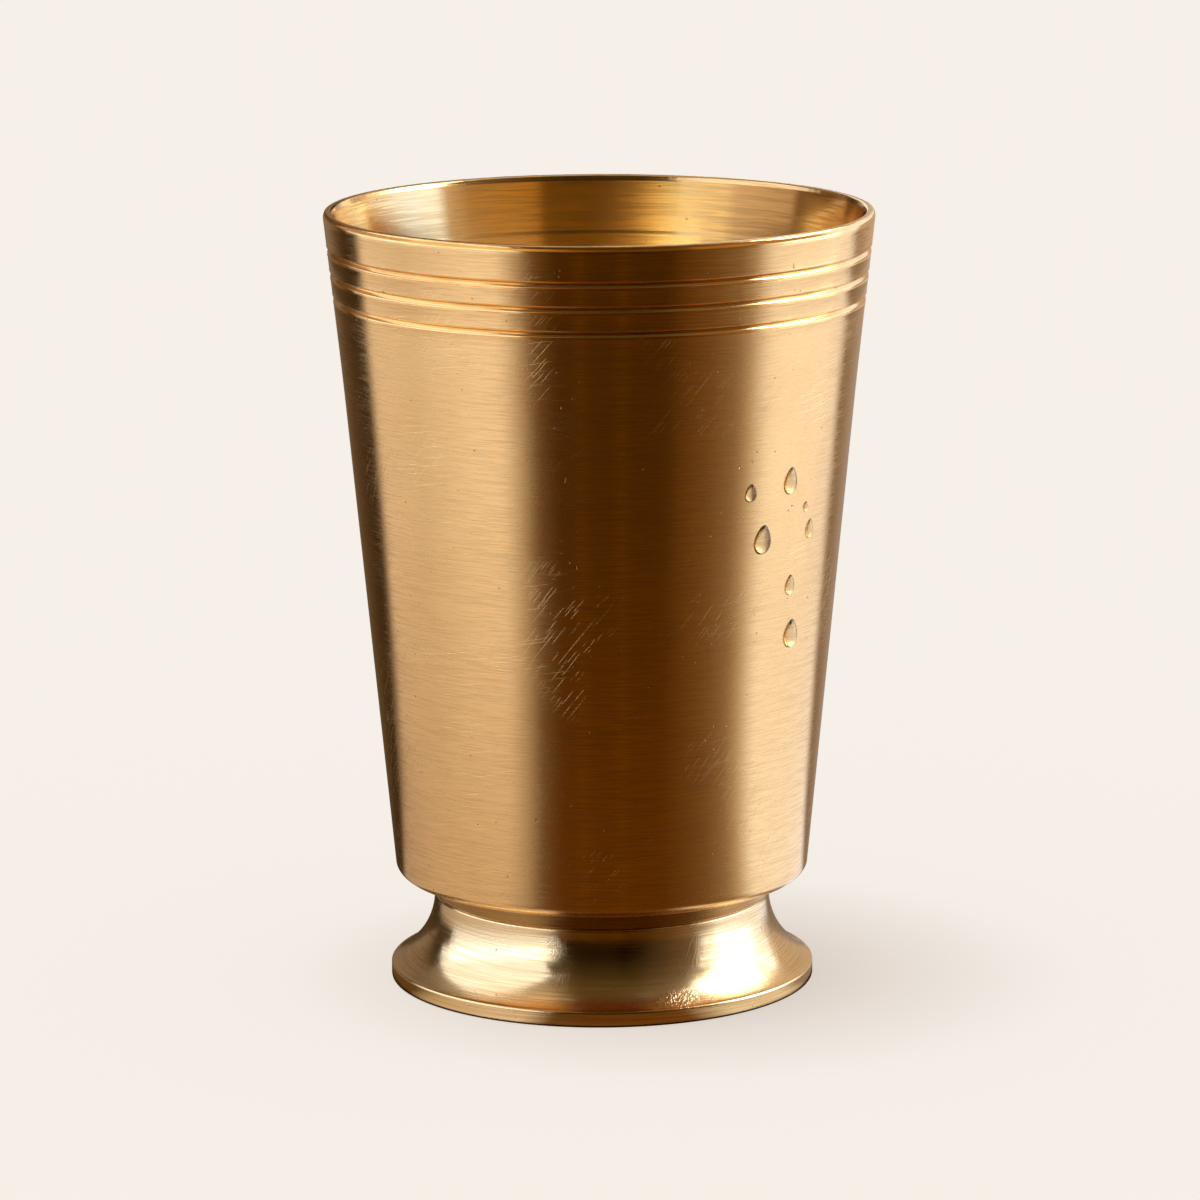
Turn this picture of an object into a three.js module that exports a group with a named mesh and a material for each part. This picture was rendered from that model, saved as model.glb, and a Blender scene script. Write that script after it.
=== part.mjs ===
// Footed brass tumbler: a tapered turned cup, brazed to a narrow collar and a hollow flared foot.
// Millimetres, +Z up. The origin is the centre of the ring that the foot stands on.
// Every piece is a profile of (radius, height) turned about the upright axis.

import * as THREE from 'three';

// Overall
const overallHeight = 113.6;
const mouthDiameter = 80;

// Cup wall, from the rounded heel to the flared lip
const heelDiameter = 60.8;
const heelHeight = 2.0;
const heelReach = 2.7;
const lipStartDiameter = 74.8;
const lipHeight = 23.6;
const wallThickness = 1.4;
const rimChamfer = 0.25;

// Cup floor
const floorThickness = 2.4;
const floorCornerRadius = 5.0;

// Grooves cut round the lip, counted down from the rim to the first groove's upper edge
const grooveCount = 3;
const firstGrooveDrop = 5.0;
const groovePitch = 3.5;
const grooveWidth = 0.6;
const grooveDepth = 0.4;
const grooveLedge = 0.08;

// Fine step turned inside the lip, below which the wall is a little thicker
const innerStepDrop = 8.6;
const innerStepHeight = 0.2;
const innerStep = 0.16;

// Register ring under the cup, which centres the collar and the foot
const registerDiameter = 40;
const registerThickness = 2.5;
const registerProjection = 1.2;

// Collar, a ring round the register ring
const collarWidth = 4.6;
const collarHeight = 2.8;
const collarEdgeChamfer = 0.2;

// Foot
const footDiameter = 62.4;
const footHeight = 12.4;
const neckSetBack = 0.1;
const neckEdgeChamfer = 0.15;
const footWall = 2.6;
const neckWeb = 2.2;
const bandHeight = 1.5;
const bandShoulder = 0.5;
const standingChamfer = 0.3;
const landHeight = 1.5;

// Braze filler and fits
const fitClearance = 0.2;
const collarBrazeChamfer = 1.1;
const brazeGap = 0.3;
const filletLeg = 1.0;

// Facets
const turnSegments = 64;
const curveSteps = 4;
const shortestEdge = 0.001;

// Radii and levels that several pieces share
const mouthRadius = mouthDiameter / 2;
const heelRadius = heelDiameter / 2;
const lipStartRadius = lipStartDiameter / 2;
const registerRadius = registerDiameter / 2;
const boreRadius = registerRadius + fitClearance;
const collarRadius = boreRadius + collarWidth;
const neckRadius = collarRadius - neckSetBack;
const footRadius = footDiameter / 2;
const cupUnderside = footHeight + collarHeight;
const cupFloor = cupUnderside + floorThickness;
const heelTop = cupUnderside + heelHeight;
const lipStart = overallHeight - lipHeight;
const webUnderside = footHeight - neckWeb;
const registerEnd = webUnderside - registerProjection;

// A polished foot and collar read a little paler than the brushed cup, and the filler a little redder.
function brass(color, roughness) {
  return new THREE.MeshStandardMaterial({ color, roughness, metalness: 1 });
}
const brushedBrass = brass(0xc79a5b, 0.36);
const polishedBrass = brass(0xd0a566, 0.26);
const brazeFiller = brass(0xb98a52, 0.5);

// Turns a closed profile about the upright axis into a named piece.
function turn(name, profile, material) {
  const points = profile.getPoints(curveSteps).filter(
    (point, index, all) => index === 0 || point.distanceTo(all[index - 1]) > shortestEdge,
  );
  const geometry = new THREE.LatheGeometry(points, turnSegments);
  geometry.rotateX(Math.PI / 2);
  const piece = new THREE.Mesh(geometry, material);
  piece.name = name;
  return piece;
}

// Outer radius of the cup at a height: a straight taper, then the slightly wider flare of the lip.
function wallRadius(height) {
  if (height < lipStart) {
    const share = (height - heelTop) / (lipStart - heelTop);
    return THREE.MathUtils.lerp(heelRadius, lipStartRadius, share);
  }
  const share = (height - lipStart) / lipHeight;
  return THREE.MathUtils.lerp(lipStartRadius, mouthRadius, share);
}

// One groove, going up: a flank that slopes inwards, then a narrow ledge back out to a sharp upper edge.
function cutGroove(profile, upperEdge) {
  const lowerEdge = upperEdge - grooveWidth;
  profile.lineTo(wallRadius(lowerEdge), lowerEdge);
  profile.lineTo(wallRadius(upperEdge) - grooveDepth, upperEdge - grooveLedge);
  profile.lineTo(wallRadius(upperEdge), upperEdge);
}

function makeCup() {
  const profile = new THREE.Path();

  // Underside with the register ring standing down from it
  profile.moveTo(0, cupUnderside);
  profile.lineTo(registerRadius - registerThickness, cupUnderside);
  profile.lineTo(registerRadius - registerThickness, registerEnd);
  profile.lineTo(registerRadius, registerEnd);
  profile.lineTo(registerRadius, cupUnderside);

  // Rounded heel, then the wall up to the lip
  profile.absellipse(heelRadius - heelReach, heelTop, heelReach, heelHeight, -Math.PI / 2, 0, false);
  profile.lineTo(lipStartRadius, lipStart);
  for (let groove = grooveCount - 1; groove >= 0; groove -= 1) {
    cutGroove(profile, overallHeight - firstGrooveDrop - groove * groovePitch);
  }

  // Flat rim with both edges broken
  profile.lineTo(wallRadius(overallHeight - rimChamfer), overallHeight - rimChamfer);
  profile.lineTo(mouthRadius - rimChamfer, overallHeight);
  profile.lineTo(mouthRadius - wallThickness + rimChamfer, overallHeight);
  profile.lineTo(wallRadius(overallHeight - rimChamfer) - wallThickness, overallHeight - rimChamfer);

  // Inner wall, parallel to the outer one above and below the fine step
  const stepTop = overallHeight - innerStepDrop;
  const stepFoot = stepTop - innerStepHeight;
  const lowerWall = wallThickness + innerStep;
  profile.lineTo(wallRadius(stepTop) - wallThickness, stepTop);
  profile.lineTo(wallRadius(stepFoot) - lowerWall, stepFoot);
  profile.lineTo(lipStartRadius - lowerWall, lipStart);

  // Rounded corner and flat floor
  const cornerTop = cupFloor + floorCornerRadius;
  const floorEdge = wallRadius(cupFloor) - lowerWall;
  profile.lineTo(wallRadius(cornerTop) - lowerWall, cornerTop);
  profile.quadraticCurveTo(floorEdge, cupFloor, floorEdge - floorCornerRadius, cupFloor);
  profile.lineTo(0, cupFloor);
  return turn('cup', profile, brushedBrass);
}

// A plain band with its outer edges broken, bored to slide over the register ring, with a chamfer
// in the upper corner of the bore for the filler.
function makeCollar() {
  const profile = new THREE.Path();
  profile.moveTo(boreRadius, footHeight);
  profile.lineTo(collarRadius - collarEdgeChamfer, footHeight);
  profile.lineTo(collarRadius, footHeight + collarEdgeChamfer);
  profile.lineTo(collarRadius, cupUnderside - collarEdgeChamfer);
  profile.lineTo(collarRadius - collarEdgeChamfer, cupUnderside);
  profile.lineTo(boreRadius + collarBrazeChamfer, cupUnderside);
  profile.lineTo(boreRadius, cupUnderside - collarBrazeChamfer);
  profile.lineTo(boreRadius, footHeight);
  return turn('collar', profile, polishedBrass);
}

// A concave flank that leaves the neck upright and sweeps out to the edge band. The hollow inside follows
// the flank at the wall's thickness, under a web that is bored for the register ring.
function makeFoot() {
  const shoulderRadius = footRadius - bandShoulder;
  const shoulderHeight = bandHeight + bandShoulder;
  const sweepOut = shoulderRadius - neckRadius;
  const sweepDown = footHeight - shoulderHeight;
  const flankRadius = (sweepOut ** 2 + sweepDown ** 2) / (2 * sweepOut);
  const flankCentre = neckRadius + flankRadius;
  const shoulderAngle = Math.atan2(-sweepDown, shoulderRadius - flankCentre);
  const neckAngle = Math.PI + Math.asin(neckEdgeChamfer / flankRadius);

  const hollowRadius = flankRadius + footWall;
  const webAngle = Math.PI + Math.asin(neckWeb / hollowRadius);
  const landAngle = Math.PI + Math.asin((footHeight - landHeight) / hollowRadius);
  const landRadius = flankCentre + hollowRadius * Math.cos(landAngle);

  const profile = new THREE.Path();
  profile.moveTo(landRadius, 0);
  profile.lineTo(footRadius - standingChamfer, 0);
  profile.lineTo(footRadius, standingChamfer);
  profile.lineTo(footRadius, bandHeight);
  profile.absarc(shoulderRadius, bandHeight, bandShoulder, 0, Math.PI / 2, false);
  profile.absarc(flankCentre, footHeight, flankRadius, shoulderAngle, neckAngle, true);
  profile.lineTo(neckRadius - neckEdgeChamfer, footHeight);
  profile.lineTo(boreRadius, footHeight);
  profile.lineTo(boreRadius, webUnderside);
  profile.absarc(flankCentre, footHeight, hollowRadius, webAngle, landAngle, false);
  profile.lineTo(landRadius, 0);
  return turn('foot', profile, polishedBrass);
}

// The ring of filler that fills the chamfer at the top of the collar's bore, against the cup's underside.
function makeCupBrazeRing() {
  const leg = collarBrazeChamfer - brazeGap;
  const profile = new THREE.Path();
  profile.moveTo(boreRadius, cupUnderside - leg);
  profile.lineTo(boreRadius + leg, cupUnderside);
  profile.lineTo(boreRadius, cupUnderside);
  profile.lineTo(boreRadius, cupUnderside - leg);
  return turn('cup_braze_ring', profile, brazeFiller);
}

// The hollow fillet of filler inside the foot, between the neck's web and the end of the register ring.
function makeFootBrazeFillet() {
  const hollow = filletLeg / 4;
  const profile = new THREE.Path();
  profile.moveTo(boreRadius, webUnderside - filletLeg);
  profile.quadraticCurveTo(
    boreRadius + hollow,
    webUnderside - hollow,
    boreRadius + filletLeg,
    webUnderside,
  );
  profile.lineTo(boreRadius, webUnderside);
  profile.lineTo(boreRadius, webUnderside - filletLeg);
  return turn('foot_braze_fillet', profile, brazeFiller);
}

const tumbler = new THREE.Group();
tumbler.name = 'brass_tumbler';
tumbler.add(makeCup(), makeCollar(), makeFoot(), makeCupBrazeRing(), makeFootBrazeFillet());

export default tumbler;
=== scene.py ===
from math import atan2, cos, degrees, pi, radians, sin

import bpy
from mathutils import Matrix, Vector


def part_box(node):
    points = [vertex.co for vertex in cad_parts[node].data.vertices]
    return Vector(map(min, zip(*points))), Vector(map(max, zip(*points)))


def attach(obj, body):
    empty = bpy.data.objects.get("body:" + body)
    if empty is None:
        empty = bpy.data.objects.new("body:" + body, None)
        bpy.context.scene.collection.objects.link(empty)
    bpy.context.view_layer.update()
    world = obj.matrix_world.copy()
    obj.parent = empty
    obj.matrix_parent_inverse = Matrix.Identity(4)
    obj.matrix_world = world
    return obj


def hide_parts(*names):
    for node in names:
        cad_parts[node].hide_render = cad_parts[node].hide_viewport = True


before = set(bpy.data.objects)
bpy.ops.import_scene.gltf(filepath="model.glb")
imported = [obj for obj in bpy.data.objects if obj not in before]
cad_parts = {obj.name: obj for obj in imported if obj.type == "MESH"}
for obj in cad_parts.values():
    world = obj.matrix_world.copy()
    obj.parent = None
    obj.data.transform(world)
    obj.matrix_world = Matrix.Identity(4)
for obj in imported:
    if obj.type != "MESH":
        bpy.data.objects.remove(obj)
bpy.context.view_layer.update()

# Camera
# A long lens, a little above the rim and straight in front, at the photograph's distance and tilt.
MM = 0.001
camera_distance = 805.7 * MM
camera_height = 221.35 * MM
camera_side = -0.1 * MM
camera_tilt = radians(11.585)
camera_roll = radians(-0.232)
lens_length = 168.33

bpy.ops.object.select_all(action="DESELECT")
bpy.ops.object.camera_add(location=(camera_side, -camera_distance, camera_height))
camera = bpy.context.object
camera.name = "camera"
aim = Matrix.Rotation(pi / 2 - camera_tilt, 4, "X") @ Matrix.Rotation(camera_roll, 4, "Z")
camera.rotation_euler = aim.to_euler()
camera.data.lens = lens_length
camera.data.sensor_width = 36
camera.data.clip_start = 10 * MM
camera.data.clip_end = 50
scene = bpy.context.scene
scene.camera = camera
scene.view_settings.view_transform = "Standard"
scene.cycles.caustics_reflective = False

# Light round the tumbler
# The world is a pale warm white behind the floor, and a softer even light on the floor itself.
backdrop_colour = (0.922, 0.871, 0.815)
even_light = (0.09, 0.13, 0.16)
sun_light = (0.20, 0.235, 0.26)


def node(tree, kind, inputs=None, **settings):
    """Adds a node, with input values by their socket's name or number, and its other settings."""
    made = tree.nodes.new(kind)
    for name, value in settings.items():
        setattr(made, name, value)
    for name, value in (inputs or {}).items():
        made.inputs[name].default_value = value
    return made


def seen_rays(tree):
    """A number that is 1 for rays from the camera, off shiny surfaces and through clear ones, or else 0."""
    path = node(tree, "ShaderNodeLightPath")
    shiny = node(tree, "ShaderNodeMath", operation="MAXIMUM")
    seen = node(tree, "ShaderNodeMath", operation="MAXIMUM")
    tree.links.new(path.outputs["Is Glossy Ray"], shiny.inputs[0])
    tree.links.new(path.outputs["Is Transmission Ray"], shiny.inputs[1])
    tree.links.new(path.outputs["Is Camera Ray"], seen.inputs[0])
    tree.links.new(shiny.outputs[0], seen.inputs[1])
    return seen.outputs[0]


world = bpy.data.worlds.new("studio")
scene.world = world
world.use_nodes = True
tree = world.node_tree
tree.nodes.clear()
backdrop = node(tree, "ShaderNodeBackground", {"Color": (*backdrop_colour, 1), "Strength": 1})
ambient = node(tree, "ShaderNodeBackground", {"Color": (*even_light, 1), "Strength": 1})
choose = node(tree, "ShaderNodeMixShader")
output = node(tree, "ShaderNodeOutputWorld")
tree.links.new(seen_rays(tree), choose.inputs[0])
tree.links.new(ambient.outputs[0], choose.inputs[1])
tree.links.new(backdrop.outputs[0], choose.inputs[2])
tree.links.new(choose.outputs[0], output.inputs["Surface"])

# Floor
# A wide sheet of pale warm paper. It glows a little by itself, so that the tumbler's shadow stays light.
floor_size = 12.0
paper_whiteness = 0.92
paper_colour = [paper_whiteness * value for value in backdrop_colour]
glow_colour = [
    paint * (1 - paper_whiteness * (even + lamp))
    for paint, even, lamp in zip(backdrop_colour, even_light, sun_light)
]

bpy.ops.object.select_all(action="DESELECT")
bpy.ops.mesh.primitive_plane_add(size=floor_size, location=(0, 0, 0))
floor = bpy.context.object
floor.name = "paper_floor"
paper = bpy.data.materials.new("pale_paper")
paper.use_nodes = True
tree = paper.node_tree
tree.nodes.clear()
matt = node(tree, "ShaderNodeBsdfDiffuse", {"Color": (*paper_colour, 1)})
glow = node(tree, "ShaderNodeEmission", {"Color": (*glow_colour, 1)})
both = node(tree, "ShaderNodeAddShader")
output = node(tree, "ShaderNodeOutputMaterial")
tree.links.new(seen_rays(tree), glow.inputs["Strength"])
tree.links.new(matt.outputs[0], both.inputs[0])
tree.links.new(glow.outputs[0], both.inputs[1])
tree.links.new(both.outputs[0], output.inputs["Surface"])
floor.data.materials.append(paper)

# Lamps
# A wide soft lamp, high on the left, gives the shadow on the floor. Two tall softboxes, left and right,
# give the bright upright bands on the brass. The right one is brighter in its middle.
sun_place = (-0.105, 0.0, 1.0)
sun_spread = radians(22)
bpy.ops.object.select_all(action="DESELECT")
bpy.ops.object.light_add(type="SUN", location=sun_place)
sun = bpy.context.object
sun.name = "shadow_lamp"
sun.rotation_euler = sun.location.to_track_quat("Z", "Y").to_euler()
sun.data.angle = sun_spread
sun.data.energy = max(sun_light) * pi * sun.location.length / sun_place[2]
sun.data.color = [value / max(sun_light) for value in sun_light]
sun.visible_glossy = False
sun.visible_transmission = False

softbox_distance = 0.30
softbox_top = 0.52
left_base = 0.075
right_base = 0.14
left_white = (0.80, 0.845, 1)
right_white = (0.85, 0.88, 1)
core_white = (0.92, 0.95, 1)
core_step = 0.005


def softbox(name, side, near_end, far_end, base, top, brightness, colour):
    """A softbox beside the tumbler, from its near end to its far end along Y and from base to top."""
    width = far_end - near_end
    height = top - base
    place = (side * softbox_distance, (near_end + far_end) / 2, (base + top) / 2)
    bpy.ops.object.select_all(action="DESELECT")
    bpy.ops.object.light_add(type="AREA", location=place, rotation=(pi / 2, 0, side * pi / 2))
    lamp = bpy.context.object
    lamp.name = name
    lamp.data.shape = "RECTANGLE"
    lamp.data.size = width
    lamp.data.size_y = height
    lamp.data.energy = brightness * pi * width * height
    lamp.data.color = colour
    lamp.visible_camera = False
    lamp.visible_diffuse = False
    return lamp


softbox("left_softbox", -1, -0.38, 0.192, left_base, softbox_top, 1.24, left_white)
softbox("left_softbox_wing", -1, -0.47, -0.38, left_base, 0.24, 1.24, left_white)
softbox("right_softbox", 1, -0.045, 0.29, right_base, softbox_top, 1.2, right_white)
softbox("right_softbox_wing", 1, -0.12, -0.045, right_base, 0.23, 1.1, right_white)
wide_core = softbox("right_softbox_wide_core", 1, -0.05, 0.24, 0.25, 0.42, 2.4, core_white)
tall_core = softbox("right_softbox_tall_core", 1, -0.03, 0.15, 0.165, 0.48, 3.2, core_white)
wide_core.location.x -= core_step
tall_core.location.x -= 2 * core_step


# Cards round the tumbler
# Dark brown cards in front, behind and overhead, and a card on the floor that is dark in front and behind.
# Only reflections in the brass and the drops see them.
def turn_on_lathe(name, profile, segments, closed):
    """A surface turned from (radius, height) points, by extruding a ring from each point to the next.
    A closed profile ends on its first point."""
    bpy.ops.object.select_all(action="DESELECT")
    radius, height = profile[0]
    bpy.ops.mesh.primitive_circle_add(vertices=segments, radius=radius, location=(0, 0, height))
    piece = bpy.context.object
    piece.name = name
    bpy.ops.object.transform_apply(location=True, rotation=True, scale=True)
    bpy.ops.object.mode_set(mode="EDIT")
    bpy.ops.mesh.select_all(action="SELECT")
    for next_radius, next_height in profile[1:]:
        rise = (0, 0, next_height - height)
        grow = next_radius / radius
        bpy.ops.mesh.extrude_edges_move(TRANSFORM_OT_translate={"value": rise})
        bpy.ops.transform.resize(value=(grow, grow, 1), center_override=(0, 0, next_height))
        radius, height = next_radius, next_height
    bpy.ops.mesh.select_all(action="SELECT")
    if closed:
        bpy.ops.mesh.remove_doubles(threshold=0.001 * MM)
        bpy.ops.mesh.normals_make_consistent(inside=False)
    bpy.ops.object.mode_set(mode="OBJECT")
    return piece


def card_material(name, near_stops, far_stops, start, end, upright):
    """A glow that changes round the axis by (degrees, colour) stops. It goes from the near stops to the far
    ones with height on an upright card, and with the distance from the axis on a flat one."""
    material = bpy.data.materials.new(name)
    material.use_nodes = True
    tree = material.node_tree
    tree.nodes.clear()
    where = node(tree, "ShaderNodeTexCoord")
    apart = node(tree, "ShaderNodeSeparateXYZ")
    forward = node(tree, "ShaderNodeMath", {1: -1}, operation="MULTIPLY")
    angle = node(tree, "ShaderNodeMath", operation="ARCTAN2")
    share = node(tree, "ShaderNodeMapRange", {"From Min": -pi, "From Max": pi})
    reach = node(tree, "ShaderNodeVectorMath", operation="LENGTH")
    climb = node(tree, "ShaderNodeMapRange", {"From Min": start, "From Max": end})
    ease = node(tree, "ShaderNodeMath", {1: 2 if upright else 1}, operation="POWER")
    blend = node(tree, "ShaderNodeMix", data_type="RGBA")
    glow = node(tree, "ShaderNodeEmission")
    output = node(tree, "ShaderNodeOutputMaterial")
    tree.links.new(where.outputs["Object"], apart.inputs[0])
    tree.links.new(where.outputs["Object"], reach.inputs[0])
    tree.links.new(apart.outputs["Y"], forward.inputs[0])
    tree.links.new(apart.outputs["X"], angle.inputs[0])
    tree.links.new(forward.outputs[0], angle.inputs[1])
    tree.links.new(angle.outputs[0], share.inputs["Value"])
    tree.links.new(apart.outputs["Z"] if upright else reach.outputs["Value"], climb.inputs["Value"])
    tree.links.new(climb.outputs["Result"], ease.inputs[0])
    tree.links.new(ease.outputs[0], blend.inputs["Factor"])
    tree.links.new(blend.outputs["Result"], glow.inputs["Color"])
    tree.links.new(glow.outputs[0], output.inputs["Surface"])
    for side, stops in (("A", near_stops), ("B", far_stops)):
        ramp = node(tree, "ShaderNodeValToRGB")
        tree.links.new(share.outputs["Result"], ramp.inputs["Fac"])
        tree.links.new(ramp.outputs["Color"], blend.inputs[side])
        elements = ramp.color_ramp.elements
        elements.remove(elements[1])
        elements[0].position = (stops[0][0] + 180) / 360
        elements[0].color = (*stops[0][1], 1)
        for turned, colour in stops[1:]:
            elements.new((turned + 180) / 360).color = (*colour, 1)
    return material


def reflections_only(card):
    """Hides a card from all but reflections."""
    card.visible_camera = False
    card.visible_diffuse = False
    card.visible_shadow = False


card_segments = 120
tent_radius = 0.6
strip_radius = 0.59
strip_top = 0.29
front_dark = (0.014, 0.007, 0.001)
front_black = (0.005, 0.0025, 0.0)
front_high = (0.125, 0.08, 0.028)
tent_profile = [(tent_radius, 0.0), (tent_radius, 0.2), (tent_radius, 0.55)]
tent_profile += [(0.45, 0.85), (0.2, 1.0), (0.02, 1.02)]
tent = turn_on_lathe("dark_cards", tent_profile, card_segments, False)
low_stops = [
    (-175, (0.24, 0.175, 0.12)),
    (-150, (0.15, 0.10, 0.06)),
    (-134, (0.13, 0.09, 0.05)),
    (-116, (0.085, 0.055, 0.025)),
    (-36, (0.10, 0.07, 0.04)),
    (-22, front_dark),
    (8, front_dark),
    (14, front_black),
    (24, front_dark),
    (66, (0.16, 0.10, 0.05)),
    (132, (0.56, 0.42, 0.29)),
    (145, (0.60, 0.43, 0.28)),
    (162, (0.66, 0.45, 0.28)),
]
high_stops = [
    (-175, (0.40, 0.33, 0.28)),
    (-140, (0.45, 0.37, 0.31)),
    (-130, (0.80, 0.68, 0.56)),
    (-60, (0.60, 0.47, 0.36)),
    (-38, front_high),
    (30, front_high),
    (66, (0.20, 0.16, 0.11)),
    (92, (0.36, 0.31, 0.25)),
    (112, (0.75, 0.67, 0.57)),
    (130, (0.80, 0.72, 0.62)),
    (170, (0.60, 0.52, 0.46)),
]
tent.data.materials.append(card_material("dark_card", low_stops, high_stops, 0, 1.0, True))
reflections_only(tent)

# A low strip along the foot of the cards, which carries the bright bands down to the floor.
strip_profile = [(strip_radius, 0.0), (strip_radius, strip_top)]
strip = turn_on_lathe("low_strip", strip_profile, card_segments, False)
left_strip = (0.98, 1.04, 1.23)
right_strip = (1.3, 1.35, 1.55)
right_core = (2.5, 2.7, 3.2)
strip_stops = [
    (-150, (0.24, 0.17, 0.12)),
    (-139, (0.17, 0.115, 0.07)),
    (-132, (0.05, 0.03, 0.012)),
    (-118, (0.06, 0.036, 0.014)),
    (-114, left_strip),
    (-33, left_strip),
    (-30, (0.09, 0.06, 0.03)),
    (-22, front_dark),
    (8, front_dark),
    (14, front_black),
    (24, front_dark),
    (66, (0.16, 0.10, 0.05)),
    (72, right_strip),
    (78, right_strip),
    (83, right_core),
    (112, right_core),
    (118, right_strip),
    (130, right_strip),
    (136, (0.56, 0.42, 0.29)),
]
strip.data.materials.append(card_material("low_strip", strip_stops, strip_stops, 0, 1, True))
reflections_only(strip)

# A card just over the floor, which the cup's wall mirrors, and a narrow one close round the foot, whose
# inner edge is dark as a painted contact shadow for the foot's bottom edge to mirror.
card_level = 0.2 * MM
near_reach = 40.0 * MM
floor_card_start = 0.08
floor_card_end = 0.26
floor_card_profile = [(near_reach, card_level), (tent_radius, card_level)]
floor_card = turn_on_lathe("floor_card", floor_card_profile, card_segments, False)


def floor_stops(brown, lighter, left_front, left_side, left_back, left_edge, front_edge, right):
    """The floor card's colours round the axis: dark in front and behind, bright beside the softboxes.
    The bright part on the left lies between two edges in degrees."""
    return [
        (-174, (0.30, 0.24, 0.19)),
        (-162, (0.13, 0.085, 0.05)),
        (-145, (0.08, 0.048, 0.022)),
        (left_edge - 5, (0.04, 0.022, 0.008)),
        (left_edge, (0.045, 0.026, 0.01)),
        (left_edge + 7, left_back),
        (-85, left_side),
        (-54, left_front),
        (front_edge, left_front),
        (front_edge + 9, (0.42, 0.33, 0.26)),
        (-27, (0.15, 0.08, 0.034)),
        (-18, brown),
        (-12, brown),
        (-8, lighter),
        (-4, brown),
        (6, brown),
        (9.5, lighter),
        (13, brown),
        (28, brown),
        (38, (0.135, 0.06, 0.012)),
        (48, (0.175, 0.09, 0.032)),
        (60, (0.26, 0.17, 0.10)),
        (67, (0.46, 0.36, 0.28)),
        (77, right),
        (126, right),
        (134, (0.20, 0.135, 0.08)),
        (152, (0.34, 0.27, 0.23)),
        (172, (0.40, 0.33, 0.29)),
    ]


near_floor = floor_stops(
    (0.112, 0.039, 0.0012), (0.127, 0.046, 0.002),
    (0.66, 0.53, 0.455), (0.61, 0.49, 0.42), (0.46, 0.36, 0.30), -127, -43.5, (1.06, 1.10, 1.32),
)
far_floor = floor_stops(
    (0.062, 0.0245, 0.0012), (0.092, 0.037, 0.002),
    (0.95, 0.88, 0.90), (0.71, 0.62, 0.58), (0.78, 0.67, 0.63), -122, -42.5, (0.97, 0.97, 1.12),
)
floor_card.data.materials.append(
    card_material("floor_card", near_floor, far_floor, floor_card_start, floor_card_end, False)
)
reflections_only(floor_card)

near_left = (0.75, 0.61, 0.51)
near_right = (0.82, 0.72, 0.62)
near_brown = (0.14, 0.055, 0.010)
contact_shadow_brown = (0.012, 0.006, 0.002)
contact_level = 0.03 * MM
foot_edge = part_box("foot")[1].x
near_profile = [
    (foot_edge - 0.35 * MM, contact_level),
    (foot_edge + 0.3 * MM, contact_level),
    (near_reach, card_level),
]
near_card = turn_on_lathe("near_card", near_profile, card_segments, False)
near_stops = [
    (-175, (0.16, 0.10, 0.06)),
    (-68, (0.12, 0.055, 0.015)),
    (-58, (0.50, 0.38, 0.26)),
    (-50, (0.62, 0.48, 0.35)),
    (-34, near_left),
    (-24, near_left),
    (-15, (0.15, 0.072, 0.026)),
    (-4, near_brown),
    (18, near_brown),
    (26, (0.18, 0.075, 0.02)),
    (40, near_right),
    (64, near_right),
    (76, (0.30, 0.22, 0.16)),
    (172, (0.20, 0.14, 0.09)),
]
# The near card's inner edge is near black: a painted contact shadow under the foot's edge, seen only in the
# foot's reflection.
contact_shadow_stops = [(-170, contact_shadow_brown), (170, contact_shadow_brown)]
contact_end = foot_edge + 0.7 * MM
near_card.data.materials.append(
    card_material("near_card", contact_shadow_stops, near_stops, contact_end - 0.3 * MM, contact_end, False)
)
reflections_only(near_card)

# A low cone round the rim, which is what the inside of the cup and the rim's top mirror. It points at the
# foot, which therefore does not mirror it. The foot's edge band is a little taller than the plain
# solid's, and that lifts all that stands on it.
band_lift = 0.35 * MM
rim_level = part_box("cup")[1].z + band_lift
rim_card_rise = 42.0 * MM
rim_card_foot = 90.0 * MM
rim_card_brim = 115.0 * MM
rim_card_profile = [(rim_card_foot, rim_level), (rim_card_brim, rim_level + rim_card_rise)]
rim_card = turn_on_lathe("rim_card", rim_card_profile, card_segments, False)
rim_stops = [
    (-179, (0.36, 0.31, 0.28)),
    (-175, (0.12, 0.085, 0.06)),
    (-171, (0.05, 0.03, 0.012)),
    (-163, (0.06, 0.035, 0.015)),
    (-158, (0.30, 0.21, 0.13)),
    (-142, (0.14, 0.07, 0.022)),
    (-117, (0.15, 0.08, 0.026)),
    (-112, (0.52, 0.38, 0.27)),
    (-97, (0.585, 0.44, 0.315)),
    (-76, (0.72, 0.565, 0.44)),
    (-69, (1.02, 0.87, 0.60)),
    (-50, (1.07, 0.96, 0.65)),
    (-38, (1.06, 0.90, 0.50)),
    (-31, (1.0, 0.70, 0.27)),
    (-23, (0.66, 0.42, 0.14)),
    (-16, (0.40, 0.22, 0.06)),
    (-6, (0.215, 0.10, 0.013)),
    (5, (0.165, 0.076, 0.003)),
    (29, (0.19, 0.086, 0.006)),
    (34, (0.43, 0.21, 0.036)),
    (49, (0.49, 0.26, 0.058)),
    (71, (0.456, 0.274, 0.104)),
    (85, (0.60, 0.455, 0.30)),
    (91, (1.13, 1.38, 2.0)),
    (109, (1.13, 1.46, 2.3)),
    (126, (1.13, 1.30, 1.8)),
    (142, (0.95, 0.95, 1.0)),
    (158, (0.42, 0.33, 0.25)),
    (163, (1.30, 1.22, 1.10)),
    (171, (1.25, 1.18, 1.05)),
    (175, (0.80, 0.75, 0.68)),
    (179, (0.38, 0.33, 0.30)),
]
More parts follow.
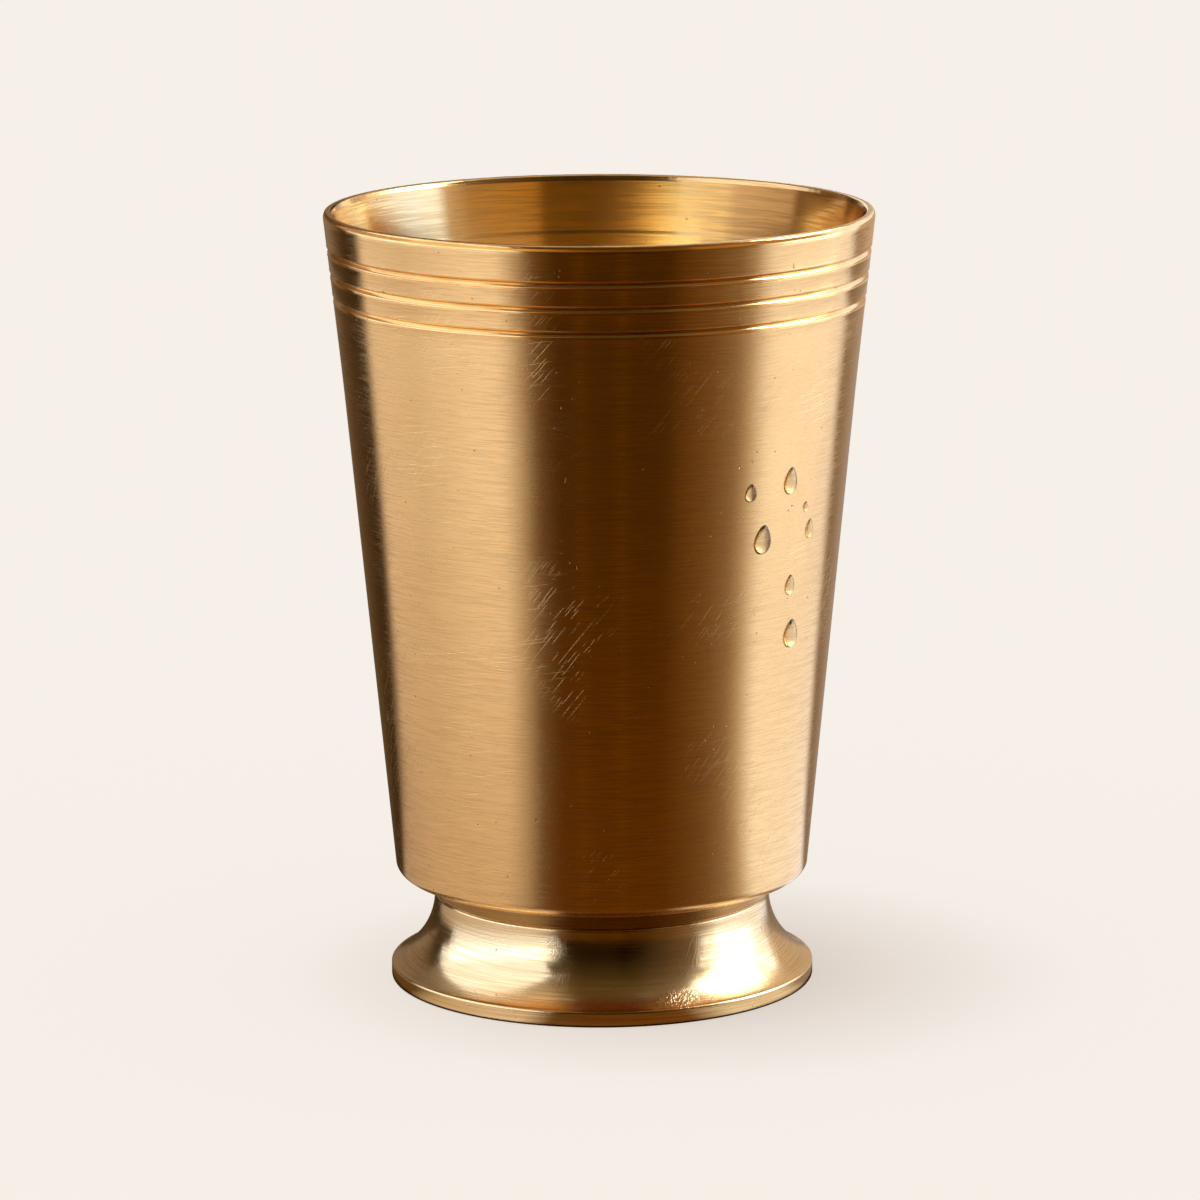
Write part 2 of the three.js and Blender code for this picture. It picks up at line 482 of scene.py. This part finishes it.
top_stops = [
    (-170, (0.08, 0.05, 0.03)),
    (-95, (0.25, 0.20, 0.15)),
    (-40, (0.27, 0.23, 0.18)),
    (-20, (0.10, 0.06, 0.02)),
    (25, (0.10, 0.06, 0.02)),
    (40, (0.46, 0.25, 0.06)),
    (80, (0.55, 0.42, 0.28)),
    (100, (1.1, 1.3, 1.8)),
    (160, (1.20, 1.12, 1.0)),
]
top_start = rim_level + 0.83 * rim_card_rise
top_end = rim_level + 0.90 * rim_card_rise
golden_tint = (0.99, 0.865, 0.69)
golden_reach = 145


def golden(stops):
    """The stops with all but the rearmost made more golden: a painted golden reflection for the cup's
    inside, a pale brass, which mirrors them.
    """
    made = []
    for turned, colour in stops:
        tint = golden_tint if abs(turned) < golden_reach else (1, 1, 1)
        made.append((turned, [value * share for value, share in zip(colour, tint)]))
    return made


rim_card.data.materials.append(
    card_material("rim_card", golden(rim_stops), golden(top_stops), top_start, top_end, True)
)
reflections_only(rim_card)


# Cup
# The turned and brushed brass cup: one wall with a rounded heel, a slightly flared lip with three cut
# grooves, a flat rim with rounded edges, and under its floor the register ring that centres the collar
# and the foot.
def arc(centre, reach, start, end, steps):
    """Points on an elliptic arc about a centre, from one angle to another in degrees."""
    turns = [radians(start + (end - start) * step / steps) for step in range(steps + 1)]
    return [(centre[0] + reach[0] * cos(turn), centre[1] + reach[1] * sin(turn)) for turn in turns]


cup_low, cup_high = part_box("cup")
collar_low, collar_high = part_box("collar")
rim_height = cup_high.z + band_lift
cup_underside = collar_high.z + band_lift
mouth_radius = 40.0 * MM
heel_radius = 30.4 * MM
heel_top = cup_underside + 2.0 * MM
heel_reach = 2.7 * MM
lip_start = rim_height - 23.6 * MM
lip_start_radius = 37.4 * MM
lip_blend = 4.0 * MM
wall = 1.4 * MM
cup_floor = cup_underside + 2.4 * MM
floor_corner = 5.0 * MM
register_radius = 20.0 * MM
register_wall = 2.5 * MM
groove_drops = [5.0 * MM, 8.5 * MM, 12.0 * MM]
inner_line_drop = 8.3 * MM
rim_bevel = (0.5 * MM, 0.9 * MM)
turn_segments = 512


def wall_radius(height):
    """Outer radius of the wall at a height: a straight taper that eases into the lip's wider flare."""
    taper = (lip_start_radius - heel_radius) / (lip_start - heel_top)
    flare = (mouth_radius - lip_start_radius) / (rim_height - lip_start)
    radius = heel_radius + taper * (height - heel_top)
    past = height - lip_start
    if past > lip_blend:
        return radius + (flare - taper) * past
    if past > -lip_blend:
        return radius + (flare - taper) * (past + lip_blend) ** 2 / (4 * lip_blend)
    return radius


# Each groove from its fine lower line up: out from the wall and up from the groove's top edge, in mm.
groove_section = [
    (0.0, -1.5), (0.02, -1.34), (0.03, -1.24), (0.02, -1.17), (-0.06, -1.11), (-0.065, -1.09), (0.0, -1.04),
    (0.0, -0.97), (-0.02, -0.87), (-0.08, -0.78), (-0.27, -0.56), (-0.46, -0.34), (-0.49, -0.29),
    (-0.5, -0.23), (-0.2, -0.14), (-0.01, 0.0), (0.015, 0.02), (0.025, 0.07), (0.02, 0.16), (0.0, 0.5),
]


def groove_profile(drop):
    """One groove: a fine line, a straight flank that slopes in, and a sharp edge over it."""
    top = rim_height - drop
    return [(wall_radius(top + up * MM) + out * MM, top + up * MM) for out, up in groove_section]


middle_hole = 0.3 * MM
inner_corner = 0.1 * MM
register_edge = 0.2 * MM
register_bore = register_radius - register_wall
under_profile = [
    (middle_hole, cup_underside),
    (register_bore - inner_corner, cup_underside),
    (register_bore, cup_underside - inner_corner),
    (register_bore, cup_low.z + register_edge),
    (register_bore + register_edge, cup_low.z),
    (register_radius - register_edge, cup_low.z),
    (register_radius, cup_low.z + register_edge),
    (register_radius, cup_underside - inner_corner),
    (register_radius + inner_corner, cup_underside),
]
heel_profile = arc((heel_radius - heel_reach, heel_top), (heel_reach, heel_top - cup_underside), -90, 0, 14)
plain_start = heel_top + 0.6 * MM
plain_end = rim_height - 14.4 * MM
plain_steps = 20
plain_step = (plain_end - plain_start) / plain_steps
plain_heights = [plain_start + plain_step * step for step in range(plain_steps + 1)]
wall_profile = [(wall_radius(height), height) for height in plain_heights]
lip_profile = []
for drop in reversed(groove_drops):
    lip_profile += groove_profile(drop)
top_radius = wall_radius(rim_height)
rim_start = rim_height - 1.5 * MM
rim_dip = 0.02 * MM
rim_profile = [(wall_radius(rim_start), rim_start)]
rim_centre = (wall_radius(rim_height - rim_bevel[1]) - rim_bevel[0], rim_height - rim_bevel[1])
rim_profile += arc(rim_centre, rim_bevel, 0, 90, 9)
rim_profile += [(top_radius - 0.6 * wall, rim_height - rim_dip)]
inner_round = 0.45 * MM
inner_top = top_radius - wall
inner_centre = (inner_top + inner_round, rim_height - inner_round)
rim_profile += arc(inner_centre, (inner_round, inner_round), 90, 175, 6)
line_depth = 0.035 * MM
flare_slope = 0.078
flare_drop = 11.5 * MM
flare_run_out = 14.0 * MM
inner_profile = []
for drop in (0.6 * MM, 0.9 * MM, 3.0 * MM, 6.0 * MM, inner_line_drop - 0.15 * MM, inner_line_drop):
    height = rim_height - drop
    inner_profile.append((wall_radius(height) - wall - flare_slope * drop, height))
for drop in (inner_line_drop + 0.3 * MM, inner_line_drop + 0.5 * MM, 10.0 * MM, flare_drop):
    height = rim_height - drop
    inner_profile.append((wall_radius(height) - wall - line_depth - flare_slope * drop, height))
flare_end = rim_height - flare_drop
inner_steps = 16
inner_step = (flare_end - cup_floor - floor_corner) / inner_steps
for step in range(1, inner_steps + 1):
    height = flare_end - inner_step * step
    thicker = flare_slope * flare_drop * max(0, 1 - (flare_end - height) / flare_run_out)
    inner_profile.append((wall_radius(height) - wall - line_depth - thicker, height))
corner_radius = inner_profile[-1][0] - floor_corner
corner_profile = arc((corner_radius, cup_floor + floor_corner), (floor_corner, floor_corner), -4, -90, 10)
floor_profile = [(corner_radius * share, cup_floor) for share in (0.75, 0.5, 0.25, 0.012)]
cup_profile = under_profile + heel_profile + wall_profile + lip_profile + rim_profile
cup_profile += inner_profile + corner_profile + floor_profile

cup = turn_on_lathe("cup_body", cup_profile, turn_segments, False)
bpy.ops.object.mode_set(mode="EDIT")
bpy.ops.mesh.select_all(action="SELECT")
bpy.ops.mesh.fill_holes(sides=turn_segments)
bpy.ops.mesh.normals_make_consistent(inside=False)
bpy.ops.object.mode_set(mode="OBJECT")

# Small nicks in the edges of the rim and of the grooves, where the brass has been knocked.
nicks = bpy.data.textures.new("nicks", "CLOUDS")
nicks.noise_scale = 0.7 * MM
nicks.noise_depth = 1
nicks.intensity = 1.55
nicks.contrast = 3.0
nick_depth = 0.05 * MM
rim_wear = 0.3
lip_wear = 0.15
rim_edge_start = rim_height - 0.5 * MM
lip_stands_out = 0.01 * MM
worn = cup.vertex_groups.new(name="worn_edges")
for vertex in cup.data.vertices:
    reach = (vertex.co.x**2 + vertex.co.y**2) ** 0.5
    proud = reach - wall_radius(vertex.co.z)
    on_rim = vertex.co.z > rim_edge_start
    on_lip = proud > lip_stands_out
    if on_rim or on_lip:
        worn.add([vertex.index], rim_wear if on_rim else lip_wear, "REPLACE")
chip = cup.modifiers.new("nicks", "DISPLACE")
chip.texture = nicks
chip.texture_coords = "LOCAL"
chip.vertex_group = "worn_edges"
chip.mid_level = 1.0
chip.strength = nick_depth
bpy.ops.object.modifier_apply(modifier="nicks")
bpy.ops.object.shade_smooth_by_angle(angle=radians(40))


def number(tree, operation, first, second=0.0):
    """A Math node's result, from two sockets or plain numbers."""
    made = node(tree, "ShaderNodeMath", operation=operation)
    for slot, value in enumerate((first, second)):
        if isinstance(value, (int, float)):
            made.inputs[slot].default_value = value
        else:
            tree.links.new(value, made.inputs[slot])
    return made.outputs[0]


def noise(tree, vector, scale, detail):
    """A noise texture's value at a place."""
    made = node(tree, "ShaderNodeTexNoise", {"Scale": scale, "Detail": detail, "Roughness": 0.6})
    tree.links.new(vector, made.inputs["Vector"])
    return made.outputs["Fac"]


def spread(tree, value, low, high, to_low=0.0, to_high=1.0):
    """A value spread from one range to another, and held at the ends."""
    made = node(tree, "ShaderNodeMapRange", {1: low, 2: high, 3: to_low, 4: to_high})
    tree.links.new(value, made.inputs["Value"])
    return made.outputs["Result"]


def lathe_brass(name, bright, dull, roughness, drawn, slant, streak, grain, marks, spot=None):
    """Brass finished on a lathe. The streaks run round the axis, with their length, width and depth in mm.
    The grain is a fine peel and the marks are pits and slanting hairlines, each with its depth in mm.
    The spot, if there is one, is a place in mm, a reach and a depth, where the skin is left pebbled."""
    length, width, depth = streak
    material = bpy.data.materials.new(name)
    material.use_nodes = True
    tree = material.node_tree
    tree.nodes.clear()
    where = node(tree, "ShaderNodeTexCoord")
    place = node(tree, "ShaderNodeVectorMath", {"Scale": 1 / MM}, operation="SCALE")
    apart = node(tree, "ShaderNodeSeparateXYZ")
    flat = node(tree, "ShaderNodeVectorMath", {1: (1, 1, 0)}, operation="MULTIPLY")
    reach = node(tree, "ShaderNodeVectorMath", operation="LENGTH")
    tree.links.new(where.outputs["Object"], place.inputs[0])
    tree.links.new(place.outputs[0], apart.inputs[0])
    tree.links.new(place.outputs[0], flat.inputs[0])
    tree.links.new(flat.outputs[0], reach.inputs[0])
    x, y, z = apart.outputs

    sway = number(tree, "MULTIPLY", noise(tree, place.outputs[0], 0.05, 1), 0.7)
    level = number(tree, "ADD", z, number(tree, "MULTIPLY", reach.outputs["Value"], slant))
    level = number(tree, "ADD", level, sway)
    lathe = node(tree, "ShaderNodeCombineXYZ")
    tree.links.new(number(tree, "DIVIDE", x, length), lathe.inputs[0])
    tree.links.new(number(tree, "DIVIDE", y, length), lathe.inputs[1])
    tree.links.new(number(tree, "DIVIDE", level, width), lathe.inputs[2])
    fine = noise(tree, lathe.outputs[0], 1, 1)
    broad = noise(tree, lathe.outputs[0], 0.38, 1)
    lines = number(tree, "ADD", number(tree, "MULTIPLY", fine, 0.62), number(tree, "MULTIPLY", broad, 0.38))

    middle_radius = 36
    angle = number(tree, "ARCTAN2", x, number(tree, "MULTIPLY", y, -1))
    turned = number(tree, "MULTIPLY", angle, middle_radius)
    sheet = node(tree, "ShaderNodeCombineXYZ")
    tree.links.new(turned, sheet.inputs[0])
    tree.links.new(z, sheet.inputs[1])
    hairs = []
    for slope, run, cross, rare in ((-50, 0.2, 5.5, 0.69), (-9, 0.09, 4.5, 0.70)):
        lean = node(tree, "ShaderNodeVectorRotate", {"Angle": radians(slope)}, rotation_type="Z_AXIS")
        stretch = node(tree, "ShaderNodeVectorMath", {1: (run, cross, 1)}, operation="MULTIPLY")
        tree.links.new(sheet.outputs[0], lean.inputs["Vector"])
        tree.links.new(lean.outputs[0], stretch.inputs[0])
        hairs.append(spread(tree, noise(tree, stretch.outputs[0], 1, 0), rare, rare + 0.05))
    patches = spread(tree, noise(tree, place.outputs[0], 0.07, 1), 0.48, 0.6)
    hair = number(tree, "MULTIPLY", number(tree, "MAXIMUM", *hairs), patches)
    pits = spread(tree, noise(tree, place.outputs[0], 1.9, 0), 0.84, 0.88)

    height = number(tree, "MULTIPLY", number(tree, "ADD", fine, broad), depth)
    rough_skin = spread(tree, noise(tree, place.outputs[0], 0.16, 1), 0.42, 0.62, 0.15 * grain, 1.8 * grain)
    peel = number(tree, "MULTIPLY", noise(tree, place.outputs[0], 5.0, 1), rough_skin)
    height = number(tree, "ADD", height, peel)
    height = number(tree, "SUBTRACT", height, number(tree, "MULTIPLY", pits, marks))
    height = number(tree, "SUBTRACT", height, number(tree, "MULTIPLY", hair, marks * 0.4))
    if spot:
        centre, extent, pebble_depth = spot
        away = node(tree, "ShaderNodeVectorMath", {1: centre}, operation="SUBTRACT")
        wide = node(tree, "ShaderNodeVectorMath", {1: (1, 1, 2)}, operation="MULTIPLY")
        gap = node(tree, "ShaderNodeVectorMath", operation="LENGTH")
        tree.links.new(place.outputs[0], away.inputs[0])
        tree.links.new(away.outputs[0], wide.inputs[0])
        tree.links.new(wide.outputs[0], gap.inputs[0])
        inside = spread(tree, gap.outputs["Value"], extent, 0.3 * extent)
        pebbles = number(tree, "MULTIPLY", noise(tree, place.outputs[0], 2.6, 1), inside)
        height = number(tree, "ADD", height, number(tree, "MULTIPLY", pebbles, pebble_depth))
    bump = node(tree, "ShaderNodeBump", {"Strength": 1, "Distance": MM})
    tree.links.new(height, bump.inputs["Height"])

    colour = node(tree, "ShaderNodeMix", data_type="RGBA")
    colour.inputs["A"].default_value = (*dull, 1)
    colour.inputs["B"].default_value = (*bright, 1)
    tree.links.new(spread(tree, lines, 0.40, 0.56), colour.inputs["Factor"])
    # The pits are drawn darker than the brass round them.
    pits_darkened = node(tree, "ShaderNodeMix", data_type="RGBA")
    pits_darkened.inputs["B"].default_value = (0.4 * dull[0], 0.36 * dull[1], 0.3 * dull[2], 1)
    tree.links.new(number(tree, "MULTIPLY", pits, 0.8), pits_darkened.inputs["Factor"])
    tree.links.new(colour.outputs["Result"], pits_darkened.inputs["A"])

    cloud = noise(tree, place.outputs[0], 0.1, 2)
    tangent = node(tree, "ShaderNodeTangent", direction_type="RADIAL", axis="Z")
    metal = node(
        tree,
        "ShaderNodeBsdfPrincipled",
        {"Metallic": 1, "Anisotropic": drawn, "Anisotropic Rotation": 0.25},
    )
    output = node(tree, "ShaderNodeOutputMaterial")
    tree.links.new(pits_darkened.outputs["Result"], metal.inputs["Base Color"])
    worn = spread(tree, lines, 0.38, 0.6, 1.4 * roughness, 0.72 * roughness)
    satin = number(tree, "MULTIPLY", worn, spread(tree, cloud, 0.3, 0.7, 0.9, 1.1))
    tree.links.new(satin, metal.inputs["Roughness"])
    tree.links.new(bump.outputs[0], metal.inputs["Normal"])
    tree.links.new(tangent.outputs[0], metal.inputs["Tangent"])
    tree.links.new(metal.outputs[0], output.inputs["Surface"])
    return material


cup_bright = (0.95, 0.64, 0.29)
cup_dull = (0.78, 0.505, 0.215)
# The deep part of each groove gets a much darker brass: painted shade in the groove's recess.
groove_shade_bright = (0.40, 0.23, 0.08)
groove_shade_dull = (0.30, 0.165, 0.05)
inner_bright = (0.96, 0.74, 0.42)
inner_dull = (0.79, 0.585, 0.31)
outer_brass = lathe_brass(
    "brushed_brass", cup_bright, cup_dull, 0.2, 0.8, 1.3, (4, 0.14, 0.005), 0.004, 0.02
)
cut_brass = lathe_brass(
    "cut_brass", cup_bright, cup_dull, 0.16, 0.4, 1.3, (9, 0.2, 0.003), 0.003, 0.0
)
inner_brass = lathe_brass(
    "inner_brass", inner_bright, inner_dull, 0.14, 0.8, 1.3, (8, 0.3, 0.0009), 0.0008, 0.0
)
groove_shaded_brass = lathe_brass(
    "groove_shaded_brass", groove_shade_bright, groove_shade_dull, 0.3, 0.2, 1.3, (9, 0.2, 0.003), 0.003, 0.0
)
lip_brass = lathe_brass(
    "lip_brass", cup_bright, cup_dull, 0.15, 0.8, 1.3, (5, 0.15, 0.0045), 0.003, 0.015
)
for finish in (outer_brass, cut_brass, inner_brass, groove_shaded_brass, lip_brass):
    cup.data.materials.append(finish)
cut_slot, inner_slot, groove_shade_slot, lip_slot = 1, 2, 3, 4
groove_below = 1.35 * MM
groove_above = 0.1 * MM
groove_shade_depth = 0.38 * MM
groove_limit = 0.6 * MM
inside_depth = 0.7 * MM
rim_band = rim_height - 0.8 * MM
lip_end = rim_height - groove_drops[-1] - 1.3 * MM
inside_end = cup_floor - 0.1 * MM
for face in cup.data.polygons:
    level = face.center.z
    reach = (face.center.x**2 + face.center.y**2) ** 0.5
    outwards = reach - wall_radius(level)
    in_groove = any(-groove_below < level - rim_height + drop < groove_above for drop in groove_drops)
    # Faces deep in a groove take the darker brass, as painted shade.
    if in_groove and -groove_limit < outwards < -groove_shade_depth:
        face.material_index = groove_shade_slot
    elif level > rim_band or (in_groove and outwards > -groove_limit):
        face.material_index = cut_slot
    elif level > lip_end and outwards > -groove_limit:
        face.material_index = lip_slot
    elif outwards < -inside_depth and level > inside_end:
        face.material_index = inner_slot
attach(cup, "root")
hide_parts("cup")

# Collar
# The narrow polished brass ring between the cup and the foot, turned, with its edges broken. It slides over
# the register ring, and a chamfer at the top of its bore leaves room for the filler.
collar_radius = collar_high.x
collar_foot = collar_low.z + band_lift
bore_clearance = 0.2 * MM
bore_radius = register_radius + bore_clearance
collar_edge = 0.25 * MM
bore_chamfer = 1.1 * MM
collar_profile = [
    (bore_radius, collar_foot),
    (collar_radius - collar_edge, collar_foot),
    (collar_radius, collar_foot + collar_edge),
    (collar_radius, cup_underside - collar_edge),
    (collar_radius - collar_edge, cup_underside),
    (bore_radius + bore_chamfer, cup_underside),
    (bore_radius, cup_underside - bore_chamfer),
    (bore_radius, collar_foot),
]
collar = turn_on_lathe("collar_ring", collar_profile, turn_segments, True)
bpy.ops.object.shade_smooth_by_angle(angle=radians(30))
# The collar's brass is painted much darker than the cup's and the foot's: painted shade, as it lies under
# the cup's heel between the two parts.
collar_shaded_bright = (0.43, 0.245, 0.08)
collar_shaded_dull = (0.37, 0.20, 0.06)
collar_shaded_brass = lathe_brass(
    "collar_shaded_brass", collar_shaded_bright, collar_shaded_dull, 0.24, 0.7, 1, (7, 0.3, 0.008), 0.01, 0
)
collar.data.materials.append(collar_shaded_brass)
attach(collar, "root")
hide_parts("collar")

# Foot
# The hollow flared brass foot, turned and polished: an upright neck, a concave flank, and a rounded edge
# band that stands on the table. The register ring passes through its neck.
foot_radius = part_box("foot")[1].x
neck_set_back = 0.1 * MM
neck_radius = collar_radius - neck_set_back
foot_top = collar_foot
band_height = 2.0 * MM
shoulder = 0.35 * MM
foot_wall = 2.6 * MM
neck_web = 2.2 * MM + band_lift
land_height = 1.5 * MM
base_round = 0.35 * MM
neck_round = 0.35 * MM
sweep_out = foot_radius - shoulder - neck_radius
sweep_down = foot_top - band_height - shoulder
flank_radius = (sweep_out**2 + sweep_down**2) / (2 * sweep_out)
flank_centre = (neck_radius + flank_radius, foot_top)
shoulder_turn = degrees(atan2(-sweep_down, foot_radius - shoulder - flank_centre[0]))
hollow_radius = flank_radius + foot_wall
web_turn = -180 + degrees(atan2(neck_web, (hollow_radius**2 - neck_web**2) ** 0.5))
land_drop = foot_top - land_height
land_turn = -180 + degrees(atan2(land_drop, (hollow_radius**2 - land_drop**2) ** 0.5))
neck_turn = -180 + degrees(neck_round / flank_radius)
outer_flank = arc(flank_centre, (flank_radius, flank_radius), shoulder_turn, neck_turn, 28)
inner_flank = arc(flank_centre, (hollow_radius, hollow_radius), web_turn, land_turn, 20)
land_radius = inner_flank[-1][0]
foot_profile = [(land_radius, 0), (foot_radius - base_round, 0)]
foot_profile += arc((foot_radius - base_round, base_round), (base_round, base_round), -90, 0, 4)
foot_profile += arc((foot_radius - shoulder, band_height), (shoulder, shoulder), 0, 75, 6)
foot_profile += outer_flank
neck_centre = (neck_radius - neck_round, foot_top - neck_round)
foot_profile += arc(neck_centre, (neck_round, neck_round), 10, 90, 5)
foot_profile += [
    (bore_radius, foot_top),
    (bore_radius, foot_top - neck_web),
]
foot_profile += inner_flank
foot_profile += [(land_radius, 0)]
foot = turn_on_lathe("foot_body", foot_profile, turn_segments, True)
bpy.ops.object.shade_smooth_by_angle(angle=radians(30))
foot_bright = (0.98, 0.76, 0.44)
foot_dull = (0.80, 0.58, 0.29)
pebbled = ((10.7, -27.6, 3.0), 3.6, 0.12)
foot_brass = lathe_brass(
    "polished_brass", foot_bright, foot_dull, 0.165, 0.75, -1, (13, 0.2, 0.004), 0.014, 0.01, pebbled
)
foot.data.materials.append(foot_brass)
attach(foot, "root")
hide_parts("foot")

# Braze filler
# The two rings of filler that hold the cup, collar and foot together: as flowed, dull and a little redder.
# One lies under the cup in the collar's chamfer, the other under the neck in the hollow of the foot.
filler_bright = (0.72, 0.46, 0.22)
filler_dull = (0.6, 0.37, 0.17)
filler = lathe_brass("braze_filler", filler_bright, filler_dull, 0.5, 0.0, 1, (3, 1.1, 0.05), 0.02, 0.03)
cup_leg = 0.8 * MM
foot_leg = 1.0 * MM
web_underside = foot_top - neck_web


def filler_ring(name, corner_height, leg, replaced):
    """A ring of filler under a flat face, in the corner at the bore, with a hollow outer face."""
    hollow_centre = (bore_radius + leg, corner_height - leg)
    profile = arc(hollow_centre, (leg, leg), 180, 90, 8)
    profile += [(bore_radius, corner_height), profile[0]]
    ring = turn_on_lathe(name, profile, turn_segments, True)
    bpy.ops.object.shade_smooth_by_angle(angle=radians(30))
    ring.data.materials.append(filler)
    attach(ring, "root")
    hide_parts(replaced)


filler_ring("cup_filler", cup_underside, cup_leg, "cup_braze_ring")
filler_ring("foot_filler", web_underside, foot_leg, "foot_braze_fillet")

# Water drops
# Clear drops that cling to the cup's wall on the right, each narrower at its top and resting on the brass.
# Each one's middle across and down the photograph in pixels, width and length in mm, and lean in degrees.
photo_side = 1200
drops = [
    (790.9, 480.2, 2.4, 4.1, 5),
    (751, 493, 1.95, 2.7, 4),
    (762.8, 539.2, 2.9, 4.4, 6),
    (805.7, 506.2, 1.1, 1.6, 0),
    (809.2, 527.6, 1.6, 2.95, 5),
    (789.6, 584.3, 1.75, 3.1, 4),
    (790.4, 632.5, 2.7, 4.3, 5),
    (740.3, 467.8, 0.6, 0.65, 0),
    (792, 506.5, 0.45, 0.5, 0),
    (752, 462, 0.35, 0.4, 0),
    (757, 452, 0.3, 0.35, 0),
    (775, 452, 0.3, 0.35, 0),
]
sunk_share = 0.12
bulge = (1.05, 0.84, 1.03)
long_taper = -0.55
round_taper = -0.1


def on_wall(across, down):
    """The point of the cup's wall that the camera sees at a pixel of the photograph."""
    middle = photo_side / 2
    pixel = camera.data.sensor_width / lens_length / photo_side
    ray = aim.to_3x3() @ Vector(((across - middle) * pixel, (middle - down) * pixel, -1))
    eye = Vector((camera_side, -camera_distance, camera_height))
    near = camera_distance - 2.5 * mouth_radius
    far = camera_distance
    for halving in range(40):
        depth = (near + far) / 2
        point = eye + depth * ray
        if point.xy.length > wall_radius(point.z):
            near = depth
        else:
            far = depth
    return point


wall_slope = atan2(lip_start_radius - heel_radius, lip_start - heel_top)
made_drops = []
for across, down, width, length, lean in drops:
    seen = on_wall(across, down)
    turned = atan2(seen.x, -seen.y)
    out = wall_radius(seen.z) - sunk_share * width * MM
    place = (out * sin(turned), -out * cos(turned), seen.z)
    bpy.ops.object.select_all(action="DESELECT")
    bpy.ops.mesh.primitive_uv_sphere_add(
        segments=48,
        ring_count=24,
        radius=0.5,
        location=place,
        rotation=(wall_slope, radians(lean), turned),
    )
    drop = bpy.context.object
    drop.scale = (bulge[0] * width * MM, bulge[1] * width * MM, bulge[2] * length * MM)
    taper = drop.modifiers.new("taper", "SIMPLE_DEFORM")
    taper.deform_method = "TAPER"
    taper.deform_axis = "Z"
    taper.factor = long_taper if length > 1.2 * width else round_taper
    bpy.ops.object.modifier_apply(modifier="taper")
    bpy.ops.object.transform_apply(location=True, rotation=True, scale=True)
    made_drops.append(drop)
for drop in made_drops:
    drop.select_set(True)
bpy.ops.object.join()
water_drops = bpy.context.object
water_drops.name = "water_drops"
bpy.ops.object.transform_apply(location=True, rotation=True, scale=True)
bpy.ops.object.shade_smooth()
water = bpy.data.materials.new("water")
water.use_nodes = True
tree = water.node_tree
tree.nodes.clear()
clear = node(tree, "ShaderNodeBsdfPrincipled", {"Transmission Weight": 1, "IOR": 1.333, "Roughness": 0.01})
output = node(tree, "ShaderNodeOutputMaterial")
tree.links.new(clear.outputs[0], output.inputs["Surface"])
water_drops.data.materials.append(water)
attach(water_drops, "root")
